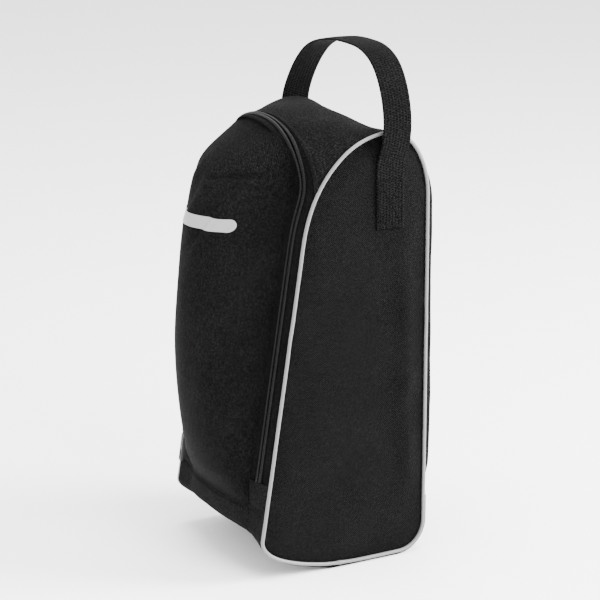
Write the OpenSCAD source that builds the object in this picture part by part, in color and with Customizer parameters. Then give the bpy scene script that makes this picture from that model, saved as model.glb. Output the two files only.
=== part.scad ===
// Upright shoe bag with a U-shaped zipped door, piped side panels and a webbing carry loop.
// Frame: origin on the floor under the middle of the base, +Z up, the zipped door faces -Y.

/* [Body] */
// Distance between the two piped seams
body_w = 148; // [140:1:156]
// Depth of the piped side panel at its foot
body_d = 147; // [143:1:151]
// Height of the piped seam's highest point
body_h = 346; // [338:1:352]
// Height of the seam between the base panel and the door
seam_z = 56; // [50:1:60]
// How far the back panel swells past the piped seams
back_puff = 11; // [6:1:14]
// How far the top swells above the piped seams
top_puff = 12; // [9:1:14]
// Thickness of the coated fabric
cloth_t = 1.2; // [1:0.1:1.4]

/* [Door and zip] */
// Height where the zip ends under the fabric tabs
zip_z = 78; // [74:1:82]
// Height of the line along which the door folds open
fold_z = 106; // [105:1:112]
// How far the door swells in front of the zip
door_puff = 55; // [40:1:60]
// Width of the whole zip between its two sewn edges
zip_w = 23.2; // [22.5:0.1:24]
// Thickness of the zip tape
tape_t = 1; // [0.8:0.1:1.2]
// Width of one row of the zip's coil
coil_w = 2.4; // [2:0.1:2.6]
// Height of the coil above its tape
coil_t = 1.8; // [1.4:0.1:1.9]
// Clear channel between the two coil rows
coil_gap = 1.4; // [1.3:0.1:1.6]
// Height of the parked slider's lower end
slider_z = 89; // [86:1:90]

/* [Piping] */
// Radius of the silver piping
pipe_r = 2; // [1.6:0.1:2.2]
// Radius of the filler cord inside the piping
cord_r = 1.3; // [1:0.1:1.4]

/* [Handle] */
// Width of the handle webbing
web_w = 25; // [22:1:28]
// Thickness of the handle webbing
web_t = 1.5; // [1.2:0.1:1.6]
// Middle of the webbing, front to back
web_y = 40; // [36:1:42]
// Lower end of the sewn webbing
web_z0 = 272; // [264:1:276]
// Upper end of the sewn webbing, where the loop begins
web_z1 = 319; // [316:1:321]

/* [Hidden] */

gap = 0.3;                 // clearance between neighbouring pieces
half_w = body_w / 2;
band_x = half_w - pipe_r - gap;      // where the cloth between the side panels ends
door_w = band_x - zip_w * 0.976;     // half width of the door at its sewn edge
edge_step = 5;             // how far the door's sewn edge stands in front of the piped seam
base_out = 1;              // how far the base panel stands in front of the piped seam
arch_rise = 49;            // height of the door's round head

// Side outline: a long round toe, a round rear corner, a straight back and a head of two elliptical quarters.
pipe_z = pipe_r + 1;       // lowest point of the seam the piping follows
toe = [88, 30];            // half axes of the long round toe at the front of the base
back_r = 23;
front_c = [toe[0] - body_d / 2 + 0.6, pipe_z + toe[1]];
back_c = [body_d / 2 - 0.5 - back_r, pipe_z + back_r];
head_y = 38;
rear_head = [body_d / 2 - 0.5 - head_y, 54];
fore_head = [76, 96];
lean = 8.8;                // lean of the straight front edge, in degrees
toe_a = atan(tan(lean) * toe[1] / toe[0]);

function arc(c, r, a0, a1, n) = [for (i = [0:n]) let (a = a0 + (a1 - a0) * i / n) c + [r[0] * cos(a), r[1] * sin(a)]];
fore_c = [head_y, body_h - fore_head[1]];
rear_c = [head_y, body_h - rear_head[1]];
lean_a = 180 - 11.7;       // where the straight front edge meets the elliptical head

// Closed list of [y, z] points, moved inwards by "inset"
function side_outline(inset) = concat(
    arc(front_c, toe - [inset, inset], 180 - toe_a, 270, 12),
    arc(back_c, [back_r - inset, back_r - inset], 270, 360, 8),
    arc(rear_c, rear_head - [inset, inset], 0, 90, 10),
    arc(fore_c, fore_head - [inset, inset], 94, lean_a, 12));

// Front edge of the outline: y at height z
front_foot = front_c + [-toe[0] * cos(toe_a), toe[1] * sin(toe_a)];
front_head = fore_c + [fore_head[0] * cos(lean_a), fore_head[1] * sin(lean_a)];
function front_y(z) = z > front_head[1]
    ? fore_c[0] - fore_head[0] * sqrt(1 - pow((z - fore_c[1]) / fore_head[1], 2))
    : front_foot[0] + (front_head[0] - front_foot[0]) * (z - front_foot[1]) / (front_head[1] - front_foot[1]);

// Where the zip's outer seam leaves the piped seam, and the top of that seam's arch
meet_a = 146.5;
meet = fore_c + [fore_head[0] * cos(meet_a), fore_head[1] * sin(meet_a)];
arch_top = [meet[0] + 0.4, body_h + 7];
crown_z = body_h + top_puff;
back_y = body_d / 2 - 0.5 + back_puff;
rear_seam_z = 46;
// Middle line of the top and back panel as [y, z], from the zip's arch to the rear seam
crown_line = [arch_top, [-15, crown_z - 2], [-4, crown_z - 0.5], [6, crown_z], [17, crown_z - 1], [28, crown_z - 5.5],
              [39, crown_z - 12], [47, crown_z - 17], [54, crown_z - 21.5], [62, crown_z - 27], [68.5, crown_z - 35],
              [back_y - 9, crown_z - 44], [back_y - 4.5, crown_z - 53.5], [back_y - 1.5, crown_z - 65],
              [back_y, crown_z - 80], [back_y, crown_z - 108], [back_y, crown_z - 138], [back_y - 0.5, crown_z - 172],
              [back_y - 1.5, crown_z - 207], [back_y - 3, crown_z - 242], [back_y - 5, crown_z - 277],
              [back_y - 8, rear_seam_z + gap]];

// ---- helpers: closed solids from grids and swept sections ----

function unit(v) = v / norm(v);
// Smooth curve through the points of p, between point i and the next
function spline(p, i, u) =
    let (n = len(p), a = p[max(0, i - 1)], b = p[i], c = p[min(n - 1, i + 1)], d = p[min(n - 1, i + 2)])
    0.5 * (2 * b + (c - a) * u + (2 * a - 5 * b + 4 * c - d) * u * u + (3 * b - a - 3 * c + d) * u * u * u);
function clampi(i, n) = max(0, min(n - 1, i));
function grid_normal(g, i, j) =
    let (r = len(g), c = len(g[0]))
    unit(cross(g[i][clampi(j + 1, c)] - g[i][clampi(j - 1, c)], g[clampi(i + 1, r)][j] - g[clampi(i - 1, r)][j]));
// The grid moved along its own normals by d, positive to the outside
function grid_shift(g, d) = [for (i = [0:len(g) - 1]) [for (j = [0:len(g[0]) - 1]) g[i][j] + d * grid_normal(g, i, j)]];

// A sheet between two grids of the same size
module sheet(outer, inner) {
    r = len(outer);
    c = len(outer[0]);
    n = r * c;
    flat = concat([for (row = outer) for (p = row) p], [for (row = inner) for (p = row) p]);
    rim = concat([for (j = [0:c - 1]) j], [for (i = [1:r - 1]) i * c + c - 1],
                 [for (j = [c - 2:-1:0]) (r - 1) * c + j], [for (i = [r - 2:-1:1]) i * c]);
    m = len(rim);
    faces = concat(
        [for (i = [0:r - 2]) for (j = [0:c - 2]) each let (a = i * c + j) [[a, a + c + 1, a + 1], [a, a + c, a + c + 1]]],
        [for (i = [0:r - 2]) for (j = [0:c - 2]) each let (a = n + i * c + j) [[a, a + 1, a + c + 1], [a, a + c + 1, a + c]]],
        [for (k = [0:m - 1]) each let (a = rim[k], b = rim[(k + 1) % m]) [[a, n + b, n + a], [a, b, n + b]]]);
    polyhedron(flat, faces);
}

module cloth(grid) sheet(grid, grid_shift(grid, -cloth_t));

// A chain of equal rings, open with end caps or closed into a loop
module skin(rings, loop = false) {
    r = len(rings);
    c = len(rings[0]);
    last = loop ? r - 1 : r - 2;
    sides = [for (i = [0:last]) for (j = [0:c - 1]) each
        let (a = i * c + j, b = i * c + (j + 1) % c, d = ((i + 1) % r) * c + j, e = ((i + 1) % r) * c + (j + 1) % c)
        [[a, b, e], [a, e, d]]];
    caps = loop ? [] : [[for (j = [c - 1:-1:0]) j], [for (j = [0:c - 1]) (r - 1) * c + j]];
    polyhedron([for (ring = rings) for (p = ring) p], concat(sides, caps));
}

module mirrored() {
    children();
    mirror([1, 0, 0]) children();
}

// ---- the zip's U-shaped path ----
// t runs 0 to 1 up the right leg, 1 to 2 over the arch, 2 to 3 down the left leg.

leg_inner_z = meet[1];                // where the door's arch begins
function rounder(v, k) = sign(v) * pow(abs(v), k);
function leg_point(u, x) = [x, 0, 0] + [0, front_y(u), u];
function u_outer(t) =
    t < 1 ? leg_point(zip_z + (meet[1] - zip_z) * t, band_x)
    : t > 2 ? leg_point(zip_z + (meet[1] - zip_z) * (3 - t), -band_x)
    : let (a = 180 * (t - 1)) [band_x * cos(a), meet[0] + (arch_top[0] - meet[0]) * sin(a), meet[1] + (arch_top[1] - meet[1]) * sin(a)];
function u_inner(t) =
    t < 1 ? leg_point(zip_z + (leg_inner_z - zip_z) * t, door_w) - [0, edge_step, 0]
    : t > 2 ? leg_point(zip_z + (leg_inner_z - zip_z) * (3 - t), -door_w) - [0, edge_step, 0]
    : let (a = 180 * (t - 1)) [door_w * rounder(cos(a), 0.8), front_y(leg_inner_z) - edge_step - 7.5 * sin(a),
                              leg_inner_z + arch_rise * rounder(sin(a), 0.8)];
function u_mid(t) = (u_outer(t) + u_inner(t)) / 2;
function u_side(t) = unit(u_outer(t) - u_inner(t));
function u_out(t) = unit(cross(u_side(t), u_mid(min(3, t + 0.01)) - u_mid(max(0, t - 0.01))));
// m millimetres outwards across the zip from its middle line, d millimetres in front of the tape
function u_point(t, m, d) = u_mid(t) + m * u_side(t) + d * u_out(t);
// Where the leg reaches height z
function leg_t(z) = (z - zip_z) / ((meet[1] + leg_inner_z) / 2 - zip_z);

// Half the width between the zip's two sewn seams, which come closer over the arch
function reach(t) = norm(u_outer(t) - u_inner(t)) / 2 - gap - (t > 1 && t < 2 ? 1.9 * pow(sin(180 * (t - 1)), 0.4) : 0);
// m kept between those seams; the edge nearer the middle stays well clear of the outer one
function held(t, m, other) = let (r = reach(t) * (abs(m) < abs(other) ? 0.55 : 1)) max(-r, min(r, m));

module u_strip(m0, m1, d0, d1, t0 = 0, t1 = 3) {
    steps = [for (i = [0:56]) 3 * i / 56];
    ts = concat([t0], [for (t = steps) if (t > t0 + 0.02 && t < t1 - 0.02) t], [t1]);
    skin([for (t = ts) let (a = held(t, m0, m1), b = held(t, m1, m0))
        [u_point(t, a, d0), u_point(t, b, d0), u_point(t, b, d1), u_point(t, a, d1)]]);
}

half_tape = zip_w / 2 - gap;
fold_t = leg_t(fold_z);
fold_gap = 0.004;          // clearance at the fold, as a share of the leg

// ---- the door's dome ----

function door_swell(z) = door_puff * pow(sin(90 * max(0.0001, min(1, (z - seam_z) / (260 - seam_z)))), 0.6);
// Where the door's sewn edge stands at height z: level with the base panel at its seam, then in front of the zip
function edge_y(z) = front_y(z) - base_out - (edge_step - base_out) * max(0, min(1, (z - seam_z) / (zip_z - seam_z)));
function dome_row(w, edge, crown, n = 16) =
    [for (i = [0:n]) let (a = -90 + 180 * i / n)
        [w * sin(a), edge[0] + (crown[0] - edge[0]) * cos(a), edge[1] + (crown[1] - edge[1]) * cos(a)]];
function dome_leg(z) = let (e = edge_y(z)) dome_row(door_w - gap, [e, z], [e - door_swell(z), z]);
function dome_arch(a) = let (e = [front_y(leg_inner_z) - edge_step - 7.5 * sin(a), leg_inner_z + (arch_rise - gap) * rounder(sin(a), 0.8)])
    dome_row((door_w - gap) * rounder(cos(a), 0.8), e, e - [door_puff * pow(cos(a), 3.8), 0]);
door_rows = concat([for (i = [0:10]) dome_leg(fold_z + gap + (leg_inner_z - fold_z - gap) * i / 10)],
                   [dome_arch(3)], [for (a = [9:9:81]) dome_arch(a)], [dome_arch(86)]);
foot_rows = [for (i = [0:6]) dome_leg(seam_z + gap + (fold_z - seam_z - 2 * gap) * pow(i / 6, 1.5))];

// ---- body panels ----

module side_panel() {
    color("#1c1c1e") translate([half_w - cloth_t, 0, 0]) rotate([90, 0, 90])
        linear_extrude(cloth_t) polygon(side_outline(pipe_r + gap));
}

// Rows from the zip's arch over the top and down the back to the rear seam
function loft_row(s, m, n = 18) = dome_row(band_x, s, m, n);
back_seam = concat(arc(fore_c, fore_head, meet_a, 90, 6),
                   [for (i = [1:8]) rear_c + [rear_head[0] * cos(90 - 90 * i / 8), rear_head[1] * sin(90 - 90 * i / 8)]],
                   [for (i = [1:7]) [body_d / 2 - 0.5, rear_c[1] + (rear_seam_z + gap - rear_c[1]) * i / 7]]);
back_rows = [for (i = [0:len(back_seam) - 1]) loft_row(back_seam[i], crown_line[i])];

module back_top_panel() {
    color("#202022") cloth(back_rows);
}

// Base: a flat floor whose front and rear edges turn up to the seams
module base_profile(inset) {
    out = pipe_z - inset;
    polygon(concat([[front_y(seam_z) + (inset - base_out) * cos(lean), seam_z]],
                   arc(front_c, toe + [base_out - inset, out], 180 - toe_a, 240, 9),
                   [[-10, inset]],
                   arc(back_c, [back_r + out, back_r + out], 270, 360, 8),
                   [[back_c[0] + back_r + out, rear_seam_z]]));
}

module base_panel() {
    color("#1c1c1e") translate([-band_x, 0, 0]) rotate([90, 0, 90]) linear_extrude(2 * band_x)
        difference() {
            base_profile(0);
            translate([0, 0.01]) base_profile(cloth_t);
            translate([0, rear_seam_z]) square([2 * body_d, body_h]);
        }
}

// Fabric tabs that cover both ends of the zip
module zip_end_tabs() {
    color("#1a1a1c") mirrored()
        cloth([for (i = [0:4]) let (z = seam_z + gap + (zip_z - seam_z - 2 * gap) * i / 4)
            [[door_w + 0.5, edge_y(z), z], [(door_w + band_x) / 2, (edge_y(z) + front_y(z)) / 2, z], [band_x, front_y(z), z]]]);
}

// ---- piping and binding ----

function loop_frame(pts, i) = let (n = len(pts), a = pts[(i + n - 1) % n], b = pts[(i + 1) % n]) unit([b[1] - a[1], a[0] - b[0]]);
function ring_at(p, nrm, r, sides = 12) = [for (k = [0:sides - 1]) let (a = 360 * k / sides)
    [half_w - r * cos(a), p[0] + nrm[0] * r * sin(a), p[1] + nrm[1] * r * sin(a)]];
seam_pts = side_outline(0);

module cord_solid(r) skin([for (i = [0:len(seam_pts) - 1]) ring_at(seam_pts[i], loop_frame(seam_pts, i), r)], true);

module piping() {
    color("#b9babd") difference() {
        cord_solid(pipe_r);
        cord_solid(cord_r + 0.1);
    }
}

module piping_cord() color("#e6e6e2") cord_solid(cord_r);

// Tape folded over the seam allowance inside the bag
module seam_binding() {
    color("#121213") translate([band_x - 8.5, 0, 0]) rotate([90, 0, 90]) linear_extrude(8.2)
        difference() {
            polygon(side_outline(4.2));
            polygon(side_outline(5.6));
        }
}

// ---- zip ----

module zip_tape_outer() color("#161617") u_strip(coil_gap / 2, half_tape, -tape_t, 0);
module zip_coil_outer() color("#0c0c0d") u_strip(coil_gap / 2, coil_gap / 2 + coil_w, 0.1, coil_t);
module inner_strips(m0, m1, d0, d1, t0, t1) {
    u_strip(-m1, -m0, d0, d1, t0, t1);
}
module zip_tape_inner() color("#161617") inner_strips(coil_gap / 2, half_tape, -tape_t, 0, fold_t + fold_gap, 3 - fold_t - fold_gap);
module zip_coil_inner() color("#0c0c0d") inner_strips(coil_gap / 2, coil_gap / 2 + coil_w, 0.1, coil_t, fold_t + fold_gap, 3 - fold_t - fold_gap);
module zip_tape_inner_foot() color("#161617") mirrored() inner_strips(coil_gap / 2, half_tape, -tape_t, 0, 0, fold_t - fold_gap);
module zip_coil_inner_foot() color("#0c0c0d") mirrored()
    inner_strips(coil_gap / 2, coil_gap / 2 + coil_w, 0.1, coil_t, 0, fold_t - fold_gap);
// Binding over the raw edge where the tape is sewn to the door
module door_binding() color("#121213") inner_strips(zip_w / 2 - 5.4, zip_w / 2 + 2, -2.6, -1.4, fold_t + fold_gap, 3 - fold_t - fold_gap);

// ---- door ----

module door_panel() color("#232325") cloth(door_rows);
module door_foot() color("#232325") cloth(foot_rows);

emblem_z = 278;            // height of the emblem's middle
emblem_h = 10;
emblem_w = 76;             // a plain bar with round ends
module emblem() {
    r = emblem_h / 2;
    grid = [for (i = [0:8]) let (d = -r * cos(6 + 168 * i / 8), z = emblem_z + d, e = edge_y(z),
                                 w = emblem_w / 2 - r + sqrt(r * r - d * d))
        [for (k = [0:16]) let (a = asin(w * (k / 8 - 1) / (door_w - gap)))
            [(door_w - gap) * sin(a), e - door_swell(z) * cos(a), z]]];
    color("#c4c5c8") sheet(grid_shift(grid, 0.7), grid_shift(grid, 0.3));
}

// ---- slider and pull, drawn upright at the origin: x across the zip, -y outwards, z along it ----

slider_l = 14;
slider_half = coil_gap / 2 + coil_w + 1.4;
plate_t = 1.3;
top_y = coil_t + 0.4;      // underside of the top plate
low_y = tape_t + 0.4;      // upper side of the bottom plate
bail_h = 3.2;
bar_y = top_y + plate_t + bail_h / 2;        // pivot of the link, in front of the tape
bar_z = 4.2;
bar_r = 0.7;
link_l = 9;
tab_l = 26;

// Places its children on the left leg, with their origin at height z on the tape's face
side_turn = atan(edge_step / (band_x - door_w));
module on_left_leg(z) {
    p = u_point(3 - leg_t(z), 0, 0);
    translate(p) rotate([-lean, 0, 0]) rotate([0, 0, -side_turn]) children();
}

module slider_plate(y0, t) translate([0, y0 + t, 0]) rotate([90, 0, 0]) linear_extrude(t)
    polygon([[-slider_half, 0], [slider_half, 0], [slider_half, slider_l * 0.55], [slider_half - 1, slider_l],
             [1 - slider_half, slider_l], [-slider_half, slider_l * 0.55]]);

module slider_body() {
    color("#8d8f93") on_left_leg(slider_z) {
        slider_plate(-top_y - plate_t, plate_t);
        slider_plate(low_y, plate_t);
        for (s = [-1, 1]) translate([s * (slider_half - 0.45) - 0.45, -top_y - 0.1, 0]) cube([0.9, top_y - 0.5, slider_l * 0.7]);
        translate([-0.35, -top_y - 0.1, 1]) cube([0.7, top_y + low_y + 0.2, 4]);
    }
}

// Bridge on the top plate, with the window that the link's bar turns in
module slider_bail() {
    h = bail_h;
    color("#9c9ea2") on_left_leg(slider_z) translate([-1, -top_y - plate_t, 0]) difference() {
        union() {
            translate([0, -h, bar_z]) cube([2, h, 7.4]);
            translate([0, -h / 2, bar_z]) rotate([0, 90, 0]) cylinder(r = h / 2, h = 2, $fn = 32);
        }
        translate([-1, -h + 0.6, bar_z]) cube([4, h - 1.2, 6]);
        translate([-1, -h / 2, bar_z]) rotate([0, 90, 0]) cylinder(r = h / 2 - 0.6, h = 4, $fn = 32);
    }
}

module link_bar(z) translate([-2.8, -bar_y, z]) rotate([0, 90, 0]) cylinder(r = bar_r, h = 5.6, $fn = 24);
module pull_link() {
    color("#9c9ea2") on_left_leg(slider_z) {
        link_bar(bar_z);
        link_bar(bar_z - link_l);
        for (s = [-1, 1]) translate([s * 2.8 - 0.8, -bar_y - 0.9, bar_z - link_l - 0.9]) cube([1.6, 1.8, link_l + 1.8]);
    }
}

module pull_tab() {
    eye_z = bar_z - link_l;
    color("#101011") on_left_leg(slider_z) translate([0, -bar_y, eye_z]) difference() {
        union() {
            translate([-1.5, 0, 0]) rotate([0, 90, 0]) cylinder(r = 1.8, h = 3, $fn = 32);
            translate([-1.5, -1.1, -3.4]) cube([3, 2.2, 3]);
            translate([-3.2, -1.1, -tab_l]) cube([6.4, 2.2, tab_l - 3]);
        }
        translate([-4, 0, 0]) rotate([0, 90, 0]) cylinder(r = bar_r + 0.35, h = 8, $fn = 32);
        translate([-1.6, -2, -tab_l + 1.8]) cube([3.2, 4, 7]);
    }
}

// ---- handle ----

module handle_end() {
    color("#151516") translate([half_w + 0.1, web_y - web_w / 2, web_z0]) cube([web_t, web_w, web_z1 - web_z0 - 1]);
}

stitch_w = 20;
stitch_h = 36;
module handle_stitching() {
    thread = 0.8;
    color("#0a0a0a") translate([half_w + 0.1 + web_t, web_y, web_z0 + 3 + stitch_h / 2]) rotate([90, 0, 90]) linear_extrude(0.25) {
        difference() {
            square([stitch_w, stitch_h], center = true);
            square([stitch_w - 2 * thread, stitch_h - 2 * thread], center = true);
        }
        for (s = [-1, 1]) rotate(s * atan(stitch_h / stitch_w))
            square([norm([stitch_w, stitch_h]) - 2 * thread, thread], center = true);
    }
}

// The loop's middle line as [x, z]: the soft strap leans a little to its right side
loop_pts = [[76.7, web_z1 + 1], [79.5, 335], [82, 352], [80, 368], [73, 385], [61.5, 399], [44, 407], [22, 408.5], [0, 407.5],
            [-22, 403.5], [-40, 396], [-55, 384], [-69.6, 367], [-78.2, 350], [-78.8, 336], [-76.7, web_z1 + 1]];
loop_path = concat([for (i = [0:len(loop_pts) - 2]) for (u = [0, 0.5]) spline(loop_pts, i, u)], [loop_pts[len(loop_pts) - 1]]);

module handle_loop() {
    n = len(loop_path);
    color("#151516") skin([for (i = [0:n - 1])
        let (d = unit(loop_path[min(n - 1, i + 1)] - loop_path[max(0, i - 1)]), q = [d[1], -d[0]] * web_t / 2,
             a = loop_path[i] + q, b = loop_path[i] - q, y0 = web_y - web_w / 2, y1 = web_y + web_w / 2)
        [[a[0], y0, a[1]], [b[0], y0, b[1]], [b[0], y1, b[1]], [a[0], y1, a[1]]]]);
}

side_panel();  // side_panel_right
mirror([1, 0, 0]) side_panel();  // side_panel_left
back_top_panel();
base_panel();
zip_end_tabs();
piping();  // piping_right
mirror([1, 0, 0]) piping();  // piping_left
piping_cord();  // piping_cord_right
mirror([1, 0, 0]) piping_cord();  // piping_cord_left
seam_binding();  // seam_binding_right
mirror([1, 0, 0]) seam_binding();  // seam_binding_left
zip_tape_outer();
zip_coil_outer();
door_foot();
zip_tape_inner_foot();
zip_coil_inner_foot();
handle_end();  // handle_end_right
mirror([1, 0, 0]) handle_end();  // handle_end_left
handle_stitching();  // handle_stitching_right
mirror([1, 0, 0]) handle_stitching();  // handle_stitching_left
door_panel();
zip_tape_inner();
zip_coil_inner();
door_binding();
emblem();
slider_body();
slider_bail();
pull_link();
pull_tab();
handle_loop();
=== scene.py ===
import math

import bpy
import numpy as np
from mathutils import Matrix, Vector


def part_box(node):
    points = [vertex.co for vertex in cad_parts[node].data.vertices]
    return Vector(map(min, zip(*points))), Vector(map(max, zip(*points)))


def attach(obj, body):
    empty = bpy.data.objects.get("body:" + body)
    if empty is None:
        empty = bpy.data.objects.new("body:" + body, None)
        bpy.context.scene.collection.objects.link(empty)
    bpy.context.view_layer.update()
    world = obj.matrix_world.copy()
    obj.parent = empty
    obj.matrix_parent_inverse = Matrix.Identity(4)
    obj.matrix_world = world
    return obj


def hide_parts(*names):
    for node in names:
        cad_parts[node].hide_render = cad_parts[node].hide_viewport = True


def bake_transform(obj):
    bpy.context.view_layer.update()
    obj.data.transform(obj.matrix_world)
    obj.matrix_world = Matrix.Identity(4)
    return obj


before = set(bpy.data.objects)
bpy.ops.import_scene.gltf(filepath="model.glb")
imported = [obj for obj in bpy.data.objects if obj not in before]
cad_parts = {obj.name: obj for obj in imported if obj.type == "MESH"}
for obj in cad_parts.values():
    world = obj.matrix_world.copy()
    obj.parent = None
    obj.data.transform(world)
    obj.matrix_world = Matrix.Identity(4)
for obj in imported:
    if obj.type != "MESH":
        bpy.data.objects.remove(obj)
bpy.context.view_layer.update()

# Everything below is worked out in millimetres in the shared frame. Meshes are turned into metres when they are made.
MM = 0.001

# ------------------------ the bag's lines, as in the CAD source

HALF_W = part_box("side_panel_right")[1][0] / MM          # distance of each piped seam from the middle
PIPE_R = 2.0
BAND_X = HALF_W - PIPE_R - 0.3
ZIP_W = 23.2
DOOR_W = BAND_X - ZIP_W * 0.976
SEAM_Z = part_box("base_panel")[1][2] / MM
ZIP_Z = 78.0
EDGE_STEP = 5.0
BASE_OUT = 1.0
DOOR_PUFF = 55.0
LEAN = math.radians(8.8)
TOE_C, TOE = np.array([15.1, 33.0]), np.array([88.0, 30.0])
BACK_C, BACK_R = np.array([50.0, 26.0]), 23.0
FORE_C, FORE = np.array([38.0, 250.0]), np.array([76.0, 96.0])
REAR_C, REAR = np.array([38.0, 292.0]), np.array([35.0, 54.0])
BACK_FLAT = 73.0
REAR_SEAM_Z = 46.0
MEET_A, LEAN_A = 146.5, 168.3
TOE_A = math.degrees(math.atan(math.tan(LEAN) * TOE[1] / TOE[0]))


def arc(c, r, a0, a1, n):
    a = np.radians(np.linspace(a0, a1, n + 1))
    return np.stack([c[0] + r[0] * np.cos(a), c[1] + r[1] * np.sin(a)], 1)


FRONT_FOOT = TOE_C + [-TOE[0] * math.cos(math.radians(TOE_A)), TOE[1] * math.sin(math.radians(TOE_A))]
FRONT_HEAD = FORE_C + [FORE[0] * math.cos(math.radians(LEAN_A)), FORE[1] * math.sin(math.radians(LEAN_A))]
MEET = FORE_C + [FORE[0] * math.cos(math.radians(MEET_A)), FORE[1] * math.sin(math.radians(MEET_A))]
ARCH_TOP = np.array([MEET[0] + 0.4, 353.0])


def unit(v):
    return v / np.maximum(np.linalg.norm(v, axis=-1, keepdims=True), 1e-9)


def round_turn(n):
    """n angles at equal steps round a full turn"""
    return np.linspace(0, 2 * np.pi, n + 1)[:-1]


def distances(p):
    """Distance of each point along the line p from its first"""
    return np.concatenate([[0], np.cumsum(np.linalg.norm(np.diff(p, axis=0), axis=1))])


def at_distance(a, s, x):
    """Rows of a, which belong to the distances s, read off at the distances x"""
    return np.stack([np.interp(x, s, a[:, k]) for k in range(a.shape[1])], 1)


def resample(p, n, closed=False):
    """n points at equal distances along the line p"""
    q = np.vstack([p, p[:1]]) if closed else p
    s = distances(q)
    t = np.linspace(0, s[-1], n + 1)[:-1] if closed else np.linspace(0, s[-1], n)
    return at_distance(q, s, t)


def outline(inset, n=420):
    """The piped seam's closed line as (y, z), starting in the middle of the underside"""
    k = np.array([inset, inset])
    p = np.vstack([arc(BACK_C, [BACK_R - inset] * 2, 270, 360, 24), arc(REAR_C, REAR - k, 0, 90, 40),
                   arc(FORE_C, FORE - k, 90.5, LEAN_A, 60), arc(TOE_C, TOE - k, 180 - TOE_A, 270, 60)])
    return resample(p, n, True)


def front_y(z):
    z = np.asarray(z, float)
    on_head = FORE_C[0] - FORE[0] * np.sqrt(np.clip(1 - ((z - FORE_C[1]) / FORE[1]) ** 2, 0, 1))
    on_leg = FRONT_FOOT[0] + (FRONT_HEAD[0] - FRONT_FOOT[0]) * (z - FRONT_FOOT[1]) / (FRONT_HEAD[1] - FRONT_FOOT[1])
    return np.where(z > FRONT_HEAD[1], on_head, on_leg)


def edge_y(z):
    """Where the door's sewn edge stands at height z: level with the base at its seam, in front of the zip above it"""
    step = np.clip((np.asarray(z, float) - SEAM_Z) / (ZIP_Z - SEAM_Z), 0, 1)
    return front_y(z) - BASE_OUT - (EDGE_STEP - BASE_OUT) * step


def door_swell(z):
    u = np.clip((np.asarray(z, float) - SEAM_Z) / (260 - SEAM_Z), 0.0001, 1)
    return DOOR_PUFF * np.sin(np.pi / 2 * u) ** 0.6


LEG_IN_Z = MEET[1]
ARCH_RISE, ARCH_BOW, ARCH_ROUND = 49.0, 7.5, 0.8        # the door's head: its height, how far it bows out, its exponent
N_LEG, N_ARCH = 240, 240


def stacked(x, y, z):
    return np.stack(np.broadcast_arrays(np.asarray(x, float), y, z), -1).astype(float)


def smooth_line(p, sigma):
    """Gaussian smoothing along a line of about evenly spaced points, with the ends held"""
    n = int(3 * sigma)
    k = np.exp(-0.5 * (np.arange(-n, n + 1) / sigma) ** 2)
    q = np.vstack([2 * p[0] - p[n:0:-1], p, 2 * p[-1] - p[-2:-n - 2:-1]])
    return np.stack([np.convolve(q[:, c], k / k.sum(), "valid") for c in range(3)], 1)


def rounder(v, k):
    return np.sign(v) * np.abs(v) ** k


def zip_lines():
    """The zip's outer and inner sewn edges, from the right leg's foot over the arch to the left leg's foot"""
    s = np.linspace(0, 1, N_LEG + 1)[:-1]
    a = np.linspace(0, np.pi, N_ARCH + 1)
    zo, zi = ZIP_Z + (MEET[1] - ZIP_Z) * s, ZIP_Z + (LEG_IN_Z - ZIP_Z) * s
    rise = ARCH_TOP - MEET
    outer = np.vstack([stacked(BAND_X, front_y(zo), zo),
                       stacked(BAND_X * np.cos(a), MEET[0] + rise[0] * np.sin(a), MEET[1] + rise[1] * np.sin(a)),
                       stacked(-BAND_X, front_y(zo), zo)[::-1]])
    inner = np.vstack([stacked(DOOR_W, front_y(zi) - EDGE_STEP, zi),
                       stacked(DOOR_W * rounder(np.cos(a), ARCH_ROUND),
                               front_y(LEG_IN_Z) - EDGE_STEP - ARCH_BOW * np.sin(a),
                               LEG_IN_Z + ARCH_RISE * rounder(np.sin(a), ARCH_ROUND)),
                       stacked(-DOOR_W, front_y(zi), zi)[::-1] - [0, EDGE_STEP, 0]])
    return outer, smooth_line(inner, 9)


OUTER, INNER = zip_lines()
MIDDLE = smooth_line((OUTER + INNER) / 2, 8)

# ------------------------ noise, normals and meshes


def value_noise(p, size, seed):
    """Smooth random values in -1 to 1 at points p, varying over about size millimetres"""
    q = np.asarray(p, float) / size + 1000
    i = np.floor(q).astype(np.int64)
    f = q - i
    f = f * f * (3 - 2 * f)
    out = np.zeros(q.shape[:-1])
    for dx in (0, 1):
        for dy in (0, 1):
            for dz in (0, 1):
                h = ((i[..., 0] + dx) * 73856093 ^ (i[..., 1] + dy) * 19349663 ^ (i[..., 2] + dz) * 83492791
                     ^ (seed * 2654435761))
                h = (h ^ (h >> 13)) * 1274126177 & 0x7FFFFFFF
                v = (h % 65521) / 65521 * 2 - 1
                w = 1.0
                for axis, far in enumerate((dx, dy, dz)):
                    w = w * (f[..., axis] if far else 1 - f[..., axis])
                out += w * v
    return out


def smoothstep(a, b, x):
    t = np.clip((np.asarray(x, float) - a) / (b - a), 0, 1)
    return t * t * (3 - 2 * t)


def grid_uv(u, v):
    """Texture positions of a grid with columns at u and rows at v, in millimetres"""
    return np.stack(np.broadcast_arrays(u[None], v[:, None]), -1) * MM


def normals(g):
    return unit(np.cross(np.gradient(g, axis=0), np.gradient(g, axis=1)))


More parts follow.
